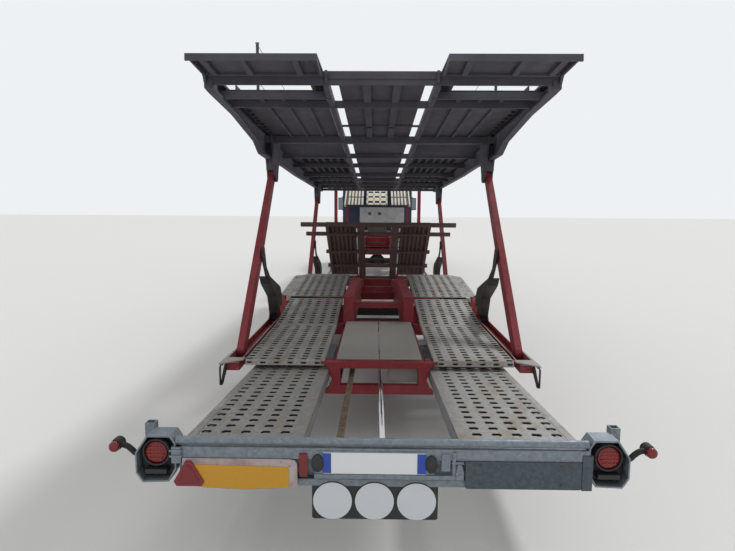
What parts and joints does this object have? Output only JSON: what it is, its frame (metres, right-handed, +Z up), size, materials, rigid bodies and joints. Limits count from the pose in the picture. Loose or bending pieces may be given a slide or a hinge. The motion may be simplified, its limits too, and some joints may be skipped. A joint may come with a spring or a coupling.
{
  "type": "articulated car transporter truck",
  "caption": "Two-deck articulated car transporter: tractor with roof platform and a low semi-trailer with scissor-post upper deck, tilting platform and pulled-out rear slider.",
  "frame": {"origin": "on the ground under the middle of the overall length", "axes": "+Y towards the front of the vehicle, +X to its right, +Z up"},
  "size_m": [2.8, 17.826, 3.527],
  "materials": {
    "red_paint": "satin",
    "galvanised": "matte",
    "dark_steel": "satin",
    "deck_steel": "matte",
    "grit_plate": "matte",
    "chrome": "polished",
    "plate_white": "satin",
    "board_paint": "matte",
    "lamp_red": "glossy",
    "disc_white": "satin",
    "tyre": "matte",
    "wheel_steel": "satin",
    "engine_iron": "matte",
    "tank_alloy": "satin",
    "cab_paint": "glossy",
    "glass": "clear",
    "cab_trim": "matte",
    "bumper_plastic": "matte",
    "headlamp": "glossy"
  },
  "bodies": {
    "semi_trailer": {"trailer_chassis": "red_paint", "lower_tracks": "galvanised", "wheel_covers": "galvanised", "side_rails": "red_paint", "centre_platform": "grit_plate", "trailer_axles": "dark_steel", "landing_legs": "dark_steel", "front_masts": "red_paint"},
    "rear_slider": {"slider_frame": "galvanised", "slider_tracks": "galvanised", "slider_rod": "chrome", "number_plate": "plate_white", "warning_boards": "board_paint", "rear_lamps": "lamp_red", "speed_discs": "disc_white"},
    "rear_stays": {"rear_stays": "dark_steel"},
    "rear_posts": {"rear_posts": "red_paint"},
    "front_stays": {"front_stays": "dark_steel"},
    "front_posts": {"front_posts": "red_paint"},
    "upper_deck": {"upper_deck_frame": "deck_steel", "upper_deck_tracks": "deck_steel"},
    "upper_flap_left": {"upper_flap_left": "deck_steel"},
    "upper_flap_right": {"upper_flap_right": "deck_steel"},
    "tilt_platform": {"tilt_platform": "deck_steel"},
    "front_upper_deck": {"front_upper_deck": "deck_steel"},
    "tractor": {"tractor_chassis": "red_paint", "tractor_axles": "dark_steel", "fifth_wheel": "dark_steel", "engine_block": "engine_iron", "side_tanks": "tank_alloy", "cab_shell": "cab_paint", "windscreen": "glass", "cab_interior": "cab_trim", "front_bumper": "bumper_plastic", "headlamps": "headlamp", "roof_platform": "galvanised"},
    "door_left": {"door_left": "cab_paint", "door_glass_left": "glass"},
    "door_right": {"door_right": "cab_paint", "door_glass_right": "glass"},
    "steering_knuckle_left": {"steering_knuckle_left": "dark_steel"},
    "steering_knuckle_right": {"steering_knuckle_right": "dark_steel"},
    "wheel_trailer_rear_left": {"tyre_trailer_rear_left": "tyre", "rim_trailer_rear_left": "wheel_steel"},
    "wheel_trailer_rear_right": {"tyre_trailer_rear_right": "tyre", "rim_trailer_rear_right": "wheel_steel"},
    "wheel_trailer_front_left": {"tyre_trailer_front_left": "tyre", "rim_trailer_front_left": "wheel_steel"},
    "wheel_trailer_front_right": {"tyre_trailer_front_right": "tyre", "rim_trailer_front_right": "wheel_steel"},
    "wheel_drive_left": {"tyres_drive_left": "tyre", "rims_drive_left": "wheel_steel"},
    "wheel_drive_right": {"tyres_drive_right": "tyre", "rims_drive_right": "wheel_steel"},
    "wheel_steer_left": {"tyre_steer_left": "tyre", "rim_steer_left": "wheel_steel"},
    "wheel_steer_right": {"tyre_steer_right": "tyre", "rim_steer_right": "wheel_steel"}
  },
  "joints": [
    {"name": "slider_extension", "type": "slide", "parent": "semi_trailer", "child": "rear_slider", "axis": [0, 0.9982, -0.0593], "range_m": [0, 1.15]},
    {"name": "rear_lift", "type": "hinge", "parent": "semi_trailer", "child": "rear_stays", "pos_m": [0, -5.237, 0.66], "axis": [-1, 0, 0], "range_deg": [-9, 26]},
    {"name": "rear_post_fold", "type": "hinge", "parent": "rear_stays", "child": "rear_posts", "pos_m": [0, -6.0115, 1.4649], "axis": [-1, 0, 0], "range_deg": [-52, 18]},
    {"name": "deck_hang", "type": "hinge", "parent": "rear_posts", "child": "upper_deck", "pos_m": [0, -5.237, 2.2697], "axis": [-1, 0, 0], "range_deg": [-9, 26]},
    {"name": "front_lift", "type": "hinge", "parent": "semi_trailer", "child": "front_stays", "pos_m": [0, -0.467, 0.46], "axis": [-1, 0, 0], "range_deg": [-9, 26]},
    {"name": "front_post_fold", "type": "hinge", "parent": "front_stays", "child": "front_posts", "pos_m": [0, -1.2415, 1.2649], "axis": [-1, 0, 0], "range_deg": [-52, 18]},
    {"name": "upper_flap_left_hinge", "type": "hinge", "parent": "upper_deck", "child": "upper_flap_left", "pos_m": [0, -7.549, 2.827], "axis": [-1, 0, 0], "range_deg": [-25, 60]},
    {"name": "upper_flap_right_hinge", "type": "hinge", "parent": "upper_deck", "child": "upper_flap_right", "pos_m": [0, -7.549, 2.827], "axis": [-1, 0, 0], "range_deg": [-25, 60]},
    {"name": "tilt_hinge", "type": "hinge", "parent": "semi_trailer", "child": "tilt_platform", "pos_m": [0, -1.037, 0.6], "axis": [1, 0, 0], "range_deg": [-4, 26]},
    {"name": "front_deck_lift", "type": "slide", "parent": "semi_trailer", "child": "front_upper_deck", "axis": [0, 0, 1], "range_m": [-0.12, 0.38]},
    {"name": "coupling_yaw", "type": "hinge", "parent": "semi_trailer", "child": "tractor", "pos_m": [0, 4.213, 1.12], "axis": [0, 0, 1], "range_deg": [-50, 50]},
    {"name": "door_left_hinge", "type": "hinge", "parent": "tractor", "child": "door_left", "pos_m": [-1.15, 8.44, 1.7], "axis": [0, 0, -1], "range_deg": [0, 70]},
    {"name": "door_right_hinge", "type": "hinge", "parent": "tractor", "child": "door_right", "pos_m": [1.15, 8.44, 1.7], "axis": [0, 0, 1], "range_deg": [0, 70]},
    {"name": "steer_left", "type": "hinge", "parent": "tractor", "child": "steering_knuckle_left", "pos_m": [-0.8, 7.543, 0.463], "axis": [0, 0, 1], "range_deg": [-35, 35]},
    {"name": "steer_right", "type": "hinge", "parent": "tractor", "child": "steering_knuckle_right", "pos_m": [0.8, 7.543, 0.463], "axis": [0, 0, 1], "range_deg": [-35, 35]},
    {"name": "spin_trailer_rear_left", "type": "hinge", "parent": "semi_trailer", "child": "wheel_trailer_rear_left", "pos_m": [-1.05, -4.247, 0.3835], "axis": [1, 0, 0], "continuous": true},
    {"name": "spin_trailer_rear_right", "type": "hinge", "parent": "semi_trailer", "child": "wheel_trailer_rear_right", "pos_m": [1.05, -4.247, 0.3835], "axis": [1, 0, 0], "continuous": true},
    {"name": "spin_trailer_front_left", "type": "hinge", "parent": "semi_trailer", "child": "wheel_trailer_front_left", "pos_m": [-1.05, -3.407, 0.3835], "axis": [1, 0, 0], "continuous": true},
    {"name": "spin_trailer_front_right", "type": "hinge", "parent": "semi_trailer", "child": "wheel_trailer_front_right", "pos_m": [1.05, -3.407, 0.3835], "axis": [1, 0, 0], "continuous": true},
    {"name": "spin_drive_left", "type": "hinge", "parent": "tractor", "child": "wheel_drive_left", "pos_m": [-0.913, 3.863, 0.463], "axis": [1, 0, 0], "continuous": true},
    {"name": "spin_drive_right", "type": "hinge", "parent": "tractor", "child": "wheel_drive_right", "pos_m": [0.913, 3.863, 0.463], "axis": [1, 0, 0], "continuous": true},
    {"name": "spin_steer_left", "type": "hinge", "parent": "steering_knuckle_left", "child": "wheel_steer_left", "pos_m": [-1.05, 7.543, 0.463], "axis": [1, 0, 0], "continuous": true},
    {"name": "spin_steer_right", "type": "hinge", "parent": "steering_knuckle_right", "child": "wheel_steer_right", "pos_m": [1.05, 7.543, 0.463], "axis": [1, 0, 0], "continuous": true}
  ],
  "couplings": [
    {"joint": "rear_post_fold", "follows": "rear_lift", "ratio": -2},
    {"joint": "deck_hang", "follows": "rear_lift", "ratio": 1},
    {"joint": "front_lift", "follows": "rear_lift", "ratio": 1},
    {"joint": "front_post_fold", "follows": "rear_lift", "ratio": -2},
    {"joint": "steer_right", "follows": "steer_left", "ratio": 1}
  ]
}
